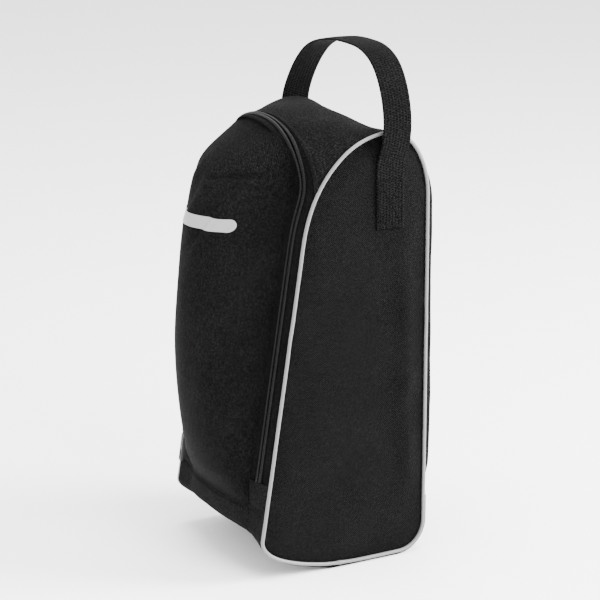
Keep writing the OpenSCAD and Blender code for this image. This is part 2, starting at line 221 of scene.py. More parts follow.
def lengths_uv(g):
    """Distances along both ways of a grid, in metres, for weaves that keep their scale"""
    du = np.linalg.norm(np.diff(g, axis=1), axis=2)
    dv = np.linalg.norm(np.diff(g, axis=0), axis=2)
    u = np.concatenate([np.zeros((g.shape[0], 1)), np.cumsum(du, 1)], 1)
    u -= u[:, -1:] / 2
    v = np.concatenate([np.zeros((1, g.shape[1])), np.cumsum(dv, 0)], 0)
    v = np.broadcast_to(v.mean(1, keepdims=True), v.shape)
    return np.stack([u, v], -1) * MM


def settle(p):
    """The bag doesn't stand quite flat: the front corner of its base lifts off the floor, away from the near side"""
    p = np.array(p, float)
    x, y, z = p[..., 0], p[..., 1], p[..., 2]
    k = smoothstep(78, 40, x) * smoothstep(58, 16, z) * smoothstep(8, -52, y)
    p[..., 2] += 8.5 * k
    p[..., 1] += 1.5 * k
    return p


def placed(name, data):
    o = bpy.data.objects.new(name, data)
    bpy.context.scene.collection.objects.link(o)
    return o


def make(name, verts, faces, mat, uvs=None):
    """A smooth-shaded piece from points in millimetres"""
    me = bpy.data.meshes.new(name)
    me.from_pydata((settle(verts) * MM).tolist(), [], faces)
    if uvs is not None:
        layer = me.uv_layers.new(name="UVMap")
        idx = np.empty(len(me.loops), np.int32)
        me.loops.foreach_get("vertex_index", idx)
        layer.data.foreach_set("uv", np.asarray(uvs, np.float32)[idx].ravel())
    me.polygons.foreach_set("use_smooth", [True] * len(me.polygons))
    me.materials.append(mat)
    me.validate()
    me.update()
    o = placed(name, me)
    return o


def grid_faces(r, c, off=0, wrap=False, flip=False):
    i, j = np.meshgrid(np.arange(r - 1), np.arange(c if wrap else c - 1), indexing="ij")
    k = (j + 1) % c
    f = np.stack([i * c + j, i * c + k, (i + 1) * c + k, (i + 1) * c + j], -1).reshape(-1, 4) + off
    return (f[:, ::-1] if flip else f).tolist()


def capped_faces(r, c):
    """Faces of a tube of r rings with c points each, closed at both ends"""
    return grid_faces(r, c, 0, wrap=True) + [list(range(c))[::-1], [(r - 1) * c + j for j in range(c)]]


def loop_faces(r, c):
    """Faces of a tube of r rings with c points each, whose last ring meets its first"""
    last = (r - 1) * c
    return grid_faces(r, c, 0, wrap=True) + [[last + j, last + (j + 1) % c, (j + 1) % c, j] for j in range(c)]


def repeated(faces, step, times):
    return [[x + b * step for x in f] for b in range(times) for f in faces]


def sheet(name, g, mat, thick, outward, uv=None):
    """A closed sheet of cloth: the grid is its outer face, and its inner face lies thick further in"""
    n = normals(g)
    if (n * outward).sum() < 0:
        n = -n
    r, c = g.shape[:2]
    turn = (n * normals(g)).sum() > 0
    uv = lengths_uv(g) if uv is None else uv
    verts = np.vstack([g.reshape(-1, 3), (g - n * thick).reshape(-1, 3)])
    uvs = np.vstack([uv.reshape(-1, 2), uv.reshape(-1, 2)])
    m = r * c
    faces = grid_faces(r, c, 0, flip=turn) + grid_faces(r, c, m, flip=not turn)
    rim = ([j for j in range(c)] + [i * c + c - 1 for i in range(1, r)]
           + [(r - 1) * c + j for j in range(c - 2, -1, -1)] + [i * c for i in range(r - 2, 0, -1)])
    for k, a in enumerate(rim):
        b = rim[(k + 1) % len(rim)]
        f = [a, b, b + m, a + m]
        faces.append(f if turn else f[::-1])
    return make(name, verts, faces, mat, uvs)


def tube(path, radius, sides=12, up=(1.0, 0, 0)):
    """Verts, faces and uvs of a round tube along a closed line of points"""
    p = np.asarray(path, float)
    n = len(p)
    d = unit(np.roll(p, -1, 0) - np.roll(p, 1, 0))
    a = unit(np.cross(d, np.asarray(up, float)))
    b = np.cross(d, a)
    ang = round_turn(sides)
    r = np.broadcast_to(np.asarray(radius, float).reshape(-1, 1, 1) if np.ndim(radius) else radius, (n, 1, 1))
    ring = p[:, None] + r * (np.cos(ang)[None, :, None] * a[:, None] + np.sin(ang)[None, :, None] * b[:, None])
    return ring.reshape(-1, 3), loop_faces(n, sides), grid_uv(ang * np.mean(r), distances(p)).reshape(-1, 2)


def joined(parts):
    """Several (verts, faces, uvs) as one"""
    verts, faces, uvs, off = [], [], [], 0
    for v, f, u in parts:
        verts.append(v)
        uvs.append(u)
        faces += [[i + off for i in q] for q in f]
        off += len(v)
    return np.vstack(verts), faces, np.vstack(uvs)


# ------------------------ materials


class Nodes:
    """Short ways to build a material's nodes"""

    def __init__(self, name):
        self.mat = bpy.data.materials.new(name)
        self.mat.use_nodes = True
        self.nt = self.mat.node_tree
        self.bsdf = self.nt.nodes["Principled BSDF"]

    def add(self, kind, **props):
        n = self.nt.nodes.new(kind)
        for k, v in props.items():
            setattr(n, k, v)
        return n

    def set(self, sock, value):
        if isinstance(value, bpy.types.NodeSocket):
            self.nt.links.new(value, sock)
        else:
            sock.default_value = value

    def math(self, op, a, b=0.0, c=None):
        n = self.add("ShaderNodeMath", operation=op)
        self.set(n.inputs[0], a)
        self.set(n.inputs[1], b)
        if c is not None:
            self.set(n.inputs[2], c)
        return n.outputs[0]

    def uv(self):
        tc = self.add("ShaderNodeTexCoord")
        sep = self.add("ShaderNodeSeparateXYZ")
        self.nt.links.new(tc.outputs["UV"], sep.inputs[0])
        return sep.outputs[0], sep.outputs[1]

    def noise(self, scale, detail):
        tc = self.add("ShaderNodeTexCoord")
        n = self.add("ShaderNodeTexNoise")
        self.nt.links.new(tc.outputs["Object"], n.inputs["Vector"])
        n.inputs["Scale"].default_value = scale
        n.inputs["Detail"].default_value = detail
        n.inputs["Roughness"].default_value = 0.55
        return n.outputs["Fac"]

    def ramp(self, fac, stops):
        n = self.add("ShaderNodeValToRGB")
        self.nt.links.new(fac, n.inputs[0])
        e = n.color_ramp.elements
        e[0].position, e[0].color = stops[0][0], (*stops[0][1], 1)
        e[1].position, e[1].color = stops[-1][0], (*stops[-1][1], 1)
        for pos, col in stops[1:-1]:
            e.new(pos).color = (*col, 1)
        return n.outputs[0]

    def bump(self, height, dist, strength, after=None):
        n = self.add("ShaderNodeBump")
        n.inputs["Strength"].default_value = strength
        n.inputs["Distance"].default_value = dist
        self.nt.links.new(height, n.inputs["Height"])
        if after is not None:
            self.nt.links.new(after, n.inputs["Normal"])
        return n.outputs[0]

    def wave(self, x, period, shift=0.0):
        """Sine of x with the given period in metres"""
        return self.math("SINE", self.math("MULTIPLY_ADD", x, 2 * math.pi / period, shift))

    def centred(self, value, weight):
        return self.math("MULTIPLY", self.math("SUBTRACT", value, 0.5), weight)


def grey(v):
    return (v, v, v)


def cloth_material(name, base, period, kind, depth, sheen, rough=0.78, spec=0.02):
    """Woven cloth: base is its grey, period its weave in metres and depth how deep the weave is"""
    m = Nodes(name)
    u, v = m.uv()
    wob = m.centred(m.noise(260, 2), period * 0.5)
    u, v = m.math("ADD", u, wob), m.math("ADD", v, wob)
    if kind == "plain":
        h = m.math("MULTIPLY", m.wave(u, period), m.wave(v, period))
    elif kind == "dobby":
        d1, d2 = m.math("ADD", u, v), m.math("SUBTRACT", u, m.math("MULTIPLY", v, 0.55))
        twill = m.math("MULTIPLY", m.wave(d1, period * 1.1), 0.25)
        fine = m.math("MULTIPLY", m.math("MULTIPLY", m.wave(u, period * 0.9), m.wave(v, period * 0.9)), 0.8)
        block = m.math("MULTIPLY", m.wave(d2, period * 5), 0.07)
        h = m.math("ADD", m.math("ADD", twill, fine), block)
    elif kind == "rib":
        col = m.math("SIGN", m.wave(u, period * 2.6))
        rib = m.wave(v, period, m.math("MULTIPLY", col, math.pi / 2))
        h = m.math("ADD", m.math("MULTIPLY", rib, 0.65), m.math("MULTIPLY", m.wave(u, period * 1.3), 0.3))
    else:
        h = m.math("MULTIPLY", m.wave(m.math("ADD", v, m.math("ABSOLUTE", u)), period), 0.8)
    # The base colour is partly the cloth's own uneven tone (the slow noise) and partly painted light. The weave pattern
    # h paints the raised threads lighter and the hollows darker as painted shade. The fine noises paint bright glints
    # on the threads, up to four times the base grey, as painted highlights. The finest noise also sets the roughness
    # and the bump.
    fuzz_and_glints = m.noise(2600, 2)
    mix = m.math("MULTIPLY_ADD", h, 0.30, 0.5)
    for value, weight in ((fuzz_and_glints, 1.0), (m.noise(22, 4), 0.35), (m.noise(750, 2), 1.7)):
        mix = m.math("ADD", mix, m.centred(value, weight))
    stops = [(0.1, grey(base * 0.1)), (0.5, grey(base)), (0.95, grey(base * 4.0))]
    m.set(m.bsdf.inputs["Base Color"], m.ramp(mix, stops))
    m.set(m.bsdf.inputs["Roughness"], m.math("MULTIPLY_ADD", fuzz_and_glints, 0.18, rough - 0.09))
    m.bsdf.inputs["Sheen Weight"].default_value = sheen
    m.bsdf.inputs["Sheen Roughness"].default_value = 0.45
    m.bsdf.inputs["Specular IOR Level"].default_value = spec
    soft = m.bump(m.noise(38, 3), 0.0009, 0.35)
    m.set(m.bsdf.inputs["Normal"], m.bump(m.math("ADD", h, m.math("MULTIPLY", fuzz_and_glints, 0.5)), depth, 0.9, soft))
    return m.mat


def smooth_material(name, base, rough, metal=0.0, bump=0.00005, scale=900, vary=0.25, spec=0.5):
    m = Nodes(name)
    n = m.noise(scale, 4)
    big = m.noise(60, 3)
    mix = m.math("ADD", m.math("MULTIPLY", n, 0.5), m.math("MULTIPLY", big, 0.5))
    stops = [(0.25, grey(base * (1 - vary))), (0.75, grey(min(1, base * (1 + vary))))]
    m.set(m.bsdf.inputs["Base Color"], m.ramp(mix, stops))
    m.set(m.bsdf.inputs["Roughness"], m.math("MULTIPLY_ADD", big, 0.25, rough - 0.12))
    m.bsdf.inputs["Metallic"].default_value = metal
    m.bsdf.inputs["Specular IOR Level"].default_value = spec
    m.set(m.bsdf.inputs["Normal"], m.bump(n, bump, 0.6))
    return m.mat


M_SIDE = cloth_material("side_cloth", 0.0018, 0.0015, "plain", 0.0008, rough=0.62, spec=0.024, sheen=0.003)
M_BODY = cloth_material("body_cloth", 0.0044, 0.0015, "plain", 0.0007, sheen=0.005)
M_DOOR = cloth_material("door_cloth", 0.0032, 0.0015, "dobby", 0.0006, rough=0.7, sheen=0.002)
M_TAPE = cloth_material("zip_tape", 0.0022, 0.0009, "chevron", 0.0002, rough=0.8, sheen=0.002)
M_BIND = cloth_material("binding", 0.0030, 0.0014, "rib", 0.00015, rough=0.8, sheen=0.02)
M_WEB = cloth_material("webbing", 0.0019, 0.0021, "rib", 0.0006, rough=0.72, sheen=0.002)
M_COIL = smooth_material("coil", 0.0035, 0.42, spec=0.22, vary=0.3)
M_THREAD = smooth_material("thread", 0.0016, 0.8, spec=0.06, scale=2500, bump=0.0001)
M_PIPE = smooth_material("piping", 0.105, 0.42, bump=0.00004, scale=1500, vary=0.08)
M_CORD = smooth_material("filler_cord", 0.75, 0.8, bump=0.0001)
M_SILVER = smooth_material("silver_print", 0.22, 0.4, bump=0.00004, scale=1800, vary=0.06)
M_METAL = smooth_material("slider_metal", 0.30, 0.38, metal=1.0, bump=0.00003, vary=0.1)
M_PULL = smooth_material("pull_rubber", 0.012, 0.6, bump=0.00006)

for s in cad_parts["door_binding"].material_slots:
    s.material = M_BIND

# ------------------------ side panels


def seam_distance(y, z):
    """Distance in the side panel's plane from (y, z) to the piped seam"""
    q = np.stack([np.ravel(y), np.ravel(z)], 1)
    line = outline(0, 420)
    chunks = np.array_split(q, max(1, len(q) // 4000))
    near = [np.linalg.norm(c[:, None] - line[None], axis=2).min(1) for c in chunks]
    return np.concatenate(near).reshape(np.shape(y))


def side_puff(y, z, sign):
    """How far a side panel stands out at (y, z)"""
    d = seam_distance(y, z)
    p = stacked(40.0 * sign, y, z)
    puff = 3.6 * (1 - np.exp(-np.maximum(0, d - 1.5) / 14))
    roll = (1.4 * value_noise(p, 52, 11) + 0.5 * value_noise(p, 21, 12)) * smoothstep(2, 16, d)
    # soft pillows between the gathers along the rear seam
    rear = smoothstep(38, 60, y) * smoothstep(2, 7, d) * smoothstep(34, 9, d)
    rear = rear * smoothstep(30, 80, z) * smoothstep(320, 250, z)
    pillows = 2.8 * np.maximum(0, value_noise(stacked(9.0 * sign, y * 0.45, z), 24, 13) + 0.15) * rear
    pucker = 0.26 * value_noise(p, 6.5, 14) * smoothstep(1.5, 4, d) * smoothstep(16, 5, d)
    share, rise = (1, 0) if sign > 0 else (0.5, 17)     # weaker and higher on the far side
    for py, pz, size in ((54, 202, 2.7), (53, 144, 3.1), (54, 90, 2.6), (50, 246, 1.6)):
        pillows = pillows + share * size * np.exp(-((y - py) / 9) ** 2 - ((z - pz - rise) / 27) ** 2)
    return puff + roll + pillows + pucker


def side_x(y, z, sign=1):
    """Outer face of a side panel at (y, z)"""
    return sign * (HALF_W - 0.6 + side_puff(np.asarray(y, float), np.asarray(z, float), sign))


def eased(n):
    """n shares from 0 to 1 that lie closer together near both ends"""
    t = np.linspace(0, 1, n)
    return 0.4 * t + 0.6 * (0.5 - 0.5 * np.cos(np.pi * t))


def side_panel(name, sign):
    edge = outline(PIPE_R - 0.5, 800)
    at = [int(np.argmin(np.linalg.norm(edge - c, axis=1))) for c in ((68, 10), (60, 333), (-18, 315), (-66, 22))]

    def run(i, j, n):
        k = np.arange(i, j + 1 if j > i else j + 801) % 800
        return resample(edge[k], n)

    ns, nt = 84, 170
    s, t = eased(ns), eased(nt)
    right, top = run(at[0], at[1], nt), run(at[1], at[2], ns)[::-1]
    left, low = run(at[2], at[3], nt)[::-1], run(at[3], at[0], ns)

    low, top, left, right = [at_distance(line, np.linspace(0, 1, len(line)), share)
                             for line, share in ((low, s), (top, s), (left, t), (right, t))]
    S, T = s[None, :, None], t[:, None, None]
    yz = ((1 - T) * low[None] + T * top[None] + (1 - S) * left[:, None] + S * right[:, None]
          - (1 - S) * (1 - T) * low[0] - S * (1 - T) * low[-1] - (1 - S) * T * top[0] - S * T * top[-1])
    g = stacked(side_x(yz[..., 0], yz[..., 1], sign), yz[..., 0], yz[..., 1])
    return sheet(name, g, M_SIDE, 1.0, uv=yz * MM, outward=np.array([sign, 0, 0]))


side_right = side_panel("side_cloth_right", 1)
side_left = side_panel("side_cloth_left", -1)

# ------------------------ top and back panel


def spline(p, t):
    """Smooth curve through the points p; t runs from 0 to 1"""
    p = np.asarray(p, float)
    n = len(p)
    x = np.clip(np.asarray(t) * (n - 1), 0, n - 1 - 1e-9)
    i = x.astype(int)
    u = (x - i)[:, None]
    a, b, c, d = (p[np.clip(i + k, 0, n - 1)] for k in (-1, 0, 1, 2))
    return 0.5 * (2 * b + (c - a) * u + (2 * a - 5 * b + 4 * c - d) * u * u + (3 * b - a - 3 * c + d) * u ** 3)


# Middle line of the top and back as (y, z), from the zip's arch to the rear seam
CROWN = [ARCH_TOP, [-15, 356], [-4, 357.5], [6, 358], [17, 357], [28, 352.5], [39, 346], [47, 341], [54, 336.5],
         [62, 331], [68.5, 323], [75, 314], [79.5, 304.5], [82.5, 293], [84, 278], [84, 250], [84, 220], [83.5, 186],
         [82.5, 151], [81, 116], [79, 81], [76, REAR_SEAM_Z + 0.3]]


PANEL_X = BAND_X + 1.2                                  # half the width of the cloth between the side seams


def back_rows(n, m):
    """Rows of m points across the bag, from the head of the zip over the crown to the rear seam"""
    t = np.linspace(0, 1, n)
    # the seam keeps to its own arcs: rows fall at even shares of its stations
    down = REAR_C[1] + (REAR_SEAM_Z - REAR_C[1]) * np.arange(1, 71) / 70
    fine = np.vstack([arc(FORE_C, FORE, MEET_A, 90, 60), arc(REAR_C, REAR, 90, 0, 80)[1:],
                      np.stack([np.full(70, BACK_FLAT), down], 1)])
    kf = np.linspace(0, 21, len(fine))
    seam_f = at_distance(fine, kf, t * 21)
    crown = spline(CROWN, t)
    a = np.radians(np.linspace(-90, 90, m))
    yz = seam_f[:, None] + (crown - seam_f)[:, None] * np.cos(a)[None, :, None]
    return stacked(PANEL_X * np.sin(a)[None], yz[..., 0], yz[..., 1])


def back_top_panel():
    g = back_rows(260, 90)
    n = normals(g)
    if (n[:, 45, 1]).sum() < 0:
        n = -n
    x, y, z = g[..., 0], g[..., 1], g[..., 2]
    rim = smoothstep(0, 14, BAND_X - np.abs(x) + 0 * y)
    edge_rim = smoothstep(0, 3, BAND_X + 1.0 - np.abs(x) + 0 * y)
    first = smoothstep(0, 16, np.arange(260)[:, None] * 2.0)
    roll = 1.3 * value_noise(g, 46, 21) + 0.5 * value_noise(g, 20, 22)
    pucker = 0.3 * value_noise(g, 7, 23) * smoothstep(14, 5, BAND_X - np.abs(x))
    # the top sinks towards the near seam and behind the zip's arch
    top = smoothstep(300, 335, z)
    sag = -2.6 * np.exp(-((x - 46) / 20) ** 2) * np.exp(-((y - 22) / 26) ** 2) * top
    sag += -2.0 * np.exp(-((x + 58) / 16) ** 2) * np.exp(-((y + 10) / 16) ** 2) * top
    sag += 3.6 * np.exp(-((x + 52) / 20) ** 2) * np.exp(-((y - 33) / 15) ** 2) * top
    groove = -1.4 * np.exp(-((x - 14) / 9 - (y - 30) / 20) ** 2) * top * smoothstep(8, 26, y)
    # the cloth puffs up beside the piped seams
    away = PANEL_X - np.abs(x)
    pillows = np.maximum(0, value_noise(g, 26, 24)) * smoothstep(320, 270, z) * smoothstep(60, 90, z)
    puff = (4.2 + 2.6 * smoothstep(210, 100, z)) * smoothstep(0, 4, away) * np.exp(-away / 11)
    pillows += puff * smoothstep(335, 290, z) * smoothstep(46, 75, z)
    d = ((roll + pucker + sag + groove) * rim + pillows * edge_rim) * np.minimum(1, first)
    g = g + n * d[..., None]
    return sheet("back_top_cloth", g, M_BODY, 1.1, outward=n)


back_top = back_top_panel()

# ------------------------ base


def base_line():
    """The base's outline as (y, z), from the front seam under the bag to the rear seam"""
    out = 3.0
    rear = BACK_C[0] + BACK_R + out
    p = np.vstack([[front_y(SEAM_Z) - BASE_OUT * math.cos(LEAN), SEAM_Z],
                   arc(TOE_C, TOE + [BASE_OUT, out], 180 - TOE_A, 240, 30), [[-10, 0]],
                   arc(BACK_C, [BACK_R + out] * 2, 270, 360, 24),
                   # the rear edge ends in a lip that is tucked behind the back panel
                   [[rear, REAR_SEAM_Z], [rear - 1.7, REAR_SEAM_Z + 0.9], [rear - 1.9, REAR_SEAM_Z + 3]]])
    return resample(p, 200)


BASE_SWELL = 7.0


def base_bulge(x, z):
    """How far the base swells forward with the door above it"""
    return BASE_SWELL * np.sqrt(np.maximum(0, 1 - (np.asarray(x) / DOOR_W) ** 2)) * smoothstep(6, SEAM_Z, z)


def base_panel():
    line = base_line()
    a = np.radians(np.linspace(-90, 90, 80))
    x = PANEL_X * np.sin(a)
    g = stacked(x[None], line[:, 0:1], line[:, 1:2])
    n = normals(g)
    if n[100, 40, 2] > 0:
        n = -n
    y, z = g[..., 1], g[..., 2]
    rim = smoothstep(0, 12, BAND_X - np.abs(g[..., 0]))
    lift = smoothstep(1.0, 7.0, z)
    toe = np.exp(-((y + 52) / 20) ** 2) * smoothstep(40, 18, z)
    d = (0.8 * value_noise(g, 30, 31) + 0.3 * value_noise(g, 12, 32)) * lift - 1.6 * toe
    ends = smoothstep(0, 8, np.minimum(np.arange(200), np.arange(200)[::-1])[:, None] * 1.2)
    g = g + n * (d * rim * ends)[..., None]
    g[..., 1] -= base_bulge(g[..., 0], g[..., 2]) * (y < -30)
    g[..., 2] = np.maximum(g[..., 2], 0.0)
    return sheet("base_cloth", g, M_BODY, 1.1, outward=n)


base = base_panel()

# ------------------------ door


HEAD_FALL = 3.8                                         # how fast the door's puff dies away under the zip's arch


def door_grid():
    """Rows from the base seam up to the head of the door"""
    zf = np.linspace(SEAM_Z, ZIP_Z, 14)[:-1]
    foot = stacked(DOOR_W, edge_y(zf), zf)
    half = INNER[:N_LEG + N_ARCH // 2 + 1]
    keep = np.concatenate([np.arange(0, N_LEG, 2), np.arange(N_LEG, len(half) - 1, 2), [len(half) - 2]])
    edge = np.vstack([foot, half[keep]])
    a_arch = np.clip((keep - N_LEG) / (N_ARCH / 2), 0, 1) * np.pi / 2
    head = DOOR_PUFF * np.cos(a_arch) ** HEAD_FALL
    swell = np.concatenate([door_swell(zf), np.where(keep < N_LEG, door_swell(half[keep][:, 2]), head)])
    swell = np.hypot(swell, BASE_SWELL * np.exp(-(edge[:, 2] - SEAM_Z) / 9))
    a = np.radians(np.linspace(-90, 90, 120))
    w = edge[:, 0:1]
    y = edge[:, 1:2] - swell[:, None] * np.cos(a)[None]
    g = stacked(w * np.sin(a)[None], y, edge[:, 2:3] + 0 * a[None])
    return g, edge


def fold(x, z, a, b, width, depth, lip=0.7, bend=0.0):
    """A crease in the door from a to b, as (x, z): the cloth rolls over on one side and drops sharply on the other"""
    a, b = np.array(a, float), np.array(b, float)
    d = b - a
    length = np.linalg.norm(d)
    d /= length
    s = ((x - a[0]) * d[0] + (z - a[1]) * d[1]) / length
    t = -(x - a[0]) * d[1] + (z - a[1]) * d[0] - bend * 4 * s * (1 - s)
    along = smoothstep(-0.05, 0.25, s) * smoothstep(1.06, 0.6, s)
    valley = -depth * np.where(t > 0, np.exp(-t / (0.5 * width)), np.exp(-(t / (1.6 * width)) ** 2))
    ridge = lip * depth * np.exp(-((t - 1.6 * width) / (1.5 * width)) ** 2)
    return along * (valley + ridge)


# (from, to, width, depth, height of the lip beside it, bow)
FOLDS = [((48.5, 314), (4, 309), 1.6, 1.9, 0.9, -1.5), ((28, 304), (-4, 246), 4.0, 1.7, 1.0, 4.0),
         ((40, 296), (16, 250), 5.0, 1.1, 1.0, 3.0), ((6, 318), (-24, 270), 5.0, 1.4, 0.9, 3.0),
         ((-8, 330), (-34, 290), 5.0, 1.2, 0.9, 2.0), ((44, 232), (26, 150), 6.0, 0.7, 1.0, 3.0),
         ((20, 226), (4, 120), 9.0, 0.8, 1.0, 4.0), ((46, 170), (34, 90), 5.0, 0.6, 1.0, 2.0)]


def door_shape():
    g, edge = door_grid()
    n = normals(g)
    if n[60, 60, 1] > 0:
        n = -n
    x, z = g[..., 0], g[..., 2]
    mirror = np.where(x >= 0, 1, -1)[..., None] ** np.array([1, 0, 0])
    side = np.linalg.norm(g - edge[:, None] * mirror, axis=2)
    rim = smoothstep(0.5, 15, side) * smoothstep(0, 10, z - SEAM_Z)
    d = 1.5 * value_noise(g, 58, 41) + 0.7 * value_noise(g * [1, 1, 0.55], 24, 42)
    for f in FOLDS:
        d = d + fold(x, z, *f)
    pucker = 0.22 * value_noise(g, 6, 43) * smoothstep(1, 4, side) * smoothstep(16, 5, side)
    g = g + n * ((d * rim) + pucker)[..., None]
    return g, n


DOOR, DOOR_N = door_shape()
door = sheet("door_cloth", DOOR, M_DOOR, 1.1, outward=DOOR_N)

# ------------------------ zip


def zip_frame():
    """Unit vectors of the zip: along it, across it towards the outer seam, and out of the bag"""
    t = unit(np.gradient(MIDDLE, axis=0))
    s = smooth_line(unit(OUTER - INNER), 8)
    s = unit(s - (s * t).sum(1, keepdims=True) * t)
    return t, s, np.cross(s, t)


ZIP_S = distances(MIDDLE)
ALONG, ACROSS, OUTWARD = zip_frame()
if OUTWARD[0, 1] > 0:
    OUTWARD = -OUTWARD


def tape(name, inner_side):
    """One woven tape of the zip, from beside its coil to its sewn edge"""
    edge = INNER if inner_side else OUTER
    sign = -1 if inner_side else 1
    rows = []
    for k in np.linspace(0, 1, 12):
        near = MIDDLE + sign * 0.5 * ACROSS
        rows.append(near + (edge + sign * 0.9 * ACROSS - near) * k + OUTWARD * (0.25 * math.sin(math.pi * k)))
    g = np.stack(rows, 1)
    return sheet(name, g, M_TAPE, 0.8, uv=grid_uv(np.linspace(0, 11, 12), ZIP_S), outward=OUTWARD[:, None])


tape_out = tape("zip_tape_frame_side", False)
tape_in = tape("zip_tape_door_side", True)


def ring_of(centre, radius, angles, a, b):
    """Points round each centre in the plane of a and b, one list of points per angle"""
    return [centre + radius * (math.cos(q) * a + math.sin(q) * b) for q in angles]


# Middle line of one tooth as (distance from the zip's middle, height), and the wire's radius there
TOOTH = np.array([(3.0, 0.35), (2.75, 1.15), (2.1, 1.62), (1.2, 1.72), (0.62, 1.25)])
PITCH = 1.25
TOOTH_R = [0.42, 0.46, 0.46, 0.46, 0.34]


def coil(name, sign):
    """The row of teeth on one tape; the other tape's teeth stand half a pitch further on"""
    s = (np.arange(int(ZIP_S[-1] / PITCH)) + (0.5 if sign > 0 else 0.0)) * PITCH + 0.6
    s = s[s < ZIP_S[-1] - 0.6]
    p, t, a, o = [at_distance(rows, ZIP_S, s) for rows in (MIDDLE, ALONG, ACROSS, OUTWARD)]
    sides = 6
    ang = round_turn(sides)
    d = unit(np.gradient(TOOTH, axis=0))
    verts = []
    for i, (off, high) in enumerate(TOOTH):
        up = -d[i, 1] * sign * a + d[i, 0] * o
        verts += ring_of(p + sign * off * a + high * o, TOOTH_R[i], ang, t, up)
    one = capped_faces(len(TOOTH), sides)
    return make(name, np.stack(verts, 1).reshape(-1, 3), repeated(one, len(TOOTH) * sides, len(s)), M_COIL)


coil_out = coil("zip_coil_frame_side", 1)
coil_in = coil("zip_coil_door_side", -1)


STITCH_SINK = 0.12                                      # how deep a stitch lies in the cloth
STITCH = [(-0.5, -0.5), (-0.32, 0.35), (0, 0.55), (0.32, 0.35), (0.5, -0.5)]     # one stitch as (along, high)


def stitches(name, line, out, pitch=3.0, length=2.1, r=0.24):
    """A row of sewn stitches along a line of points"""
    line = np.asarray(line, float)
    out = np.broadcast_to(out, line.shape)
    s = distances(line)
    at = np.arange(pitch * 0.5, s[-1] - pitch * 0.5, pitch)
    ang = round_turn(5)
    o = at_distance(out, s, at)
    t = unit(at_distance(line, s, at + 0.1) - at_distance(line, s, at - 0.1))
    rings = []
    for along, high in STITCH:
        c = at_distance(line, s, at + along * length) + o * (high * r * 1.4 - STITCH_SINK)
        rings += ring_of(c, r, ang, np.cross(t, o), o)
    one = capped_faces(len(STITCH), len(ang))
    return make(name, np.stack(rings, 1).reshape(-1, 3), repeated(one, len(STITCH) * len(ang), len(at)), M_THREAD)


def zip_stitching():
    """Four rows: along both sewn edges, and along the foot of both coils"""
    p, a, o = MIDDLE[4:-4], ACROSS[4:-4], OUTWARD[4:-4]
    rows = []
    for name, line, size in (("stitching_zip_frame_side", OUTER[4:-4] - a * 1.6 + o * 0.35, ()),
                             ("stitching_zip_door_side", INNER[4:-4] - a * 1.2 + o * 0.75, ()),
                             ("stitching_coil_frame_side", p + a * 2.15 + o * 2.05, (1.9, 1.5, 0.16)),
                             ("stitching_coil_door_side", p - a * 2.15 + o * 2.05, (1.9, 1.5, 0.16))):
        rows.append(stitches(name, line, o, *size))
    return rows


st_zip_frame, st_zip_door, st_coil_frame, st_coil_door = zip_stitching()


def hem(name, line, out, side, mat):
    """The turned edge of cloth that is sewn over the zip tape: a flat roll along a line"""
    prof = [(0.0, -0.2), (0.0, 0.55), (0.35, 0.95), (1.1, 1.05), (2.2, 0.95), (3.2, 0.45), (3.8, -0.3)]
    g = np.stack([line + side * (-0.9 + a) + out * (b * 0.9) for a, b in prof], 1)
    return sheet(name, g, mat, 0.4, outward=out[:, None])


OVER_ARCH = slice(N_LEG + 4, N_LEG + N_ARCH - 3)
hem_door = hem("door_hem", INNER, OUTWARD, -ACROSS, M_DOOR)
hem_top = hem("top_hem", OUTER[OVER_ARCH], OUTWARD[OVER_ARCH], ACROSS[OVER_ARCH], M_BODY)


def end_tab(name, sign):
    """The cloth tab that covers one end of the zip"""
    z = np.linspace(SEAM_Z - 1.5, ZIP_Z + 0.6, 26)
    k = np.linspace(-0.04, 1.03, 26)
    inner = stacked(DOOR_W, edge_y(z), z)
    outer = stacked(BAND_X + 0.6, front_y(z), z)
    g = inner[:, None] + (outer - inner)[:, None] * k[None, :, None]
    lift = 1.7 * np.sin(np.pi * np.clip(k, 0, 1))[None] ** 0.7 * smoothstep(0, 6, z - SEAM_Z)[:, None]
    g[..., 1] -= lift + 0.5 + 0.3 * value_noise(g, 9, 51)
    g[..., 0] *= sign
    return sheet(name, g, M_BODY, 1.0, outward=np.array([0, -1.0, 0]))


tab_right, tab_left = end_tab("zip_end_tab_right", 1), end_tab("zip_end_tab_left", -1)

# ------------------------ piping


def piping(name, sign):
    """The silver-grey tube in one side seam"""
    line = outline(0, 900)
    p = stacked(sign * HALF_W, line[:, 0], line[:, 1])
    p = p + 0.22 * np.stack([value_noise(p, 16, 61), value_noise(p, 16, 62), value_noise(p, 16, 63)], -1)
    rad = 1.42 + 0.05 * value_noise(p, 5, 64) + 0.03 * value_noise(p, 2.2, 65)
    # the ends overlap in the middle of the underside, where the tube is a little thicker
    rad = rad + 0.3 * np.exp(-((line[:, 0] + 4) / 2.5) ** 2) * (line[:, 1] < 20)
    v, f, u = tube(p, rad, 16)
    return make(name, v, f, M_PIPE, u)


pipe_right, pipe_left = piping("piping_tube_right", 1), piping("piping_tube_left", -1)


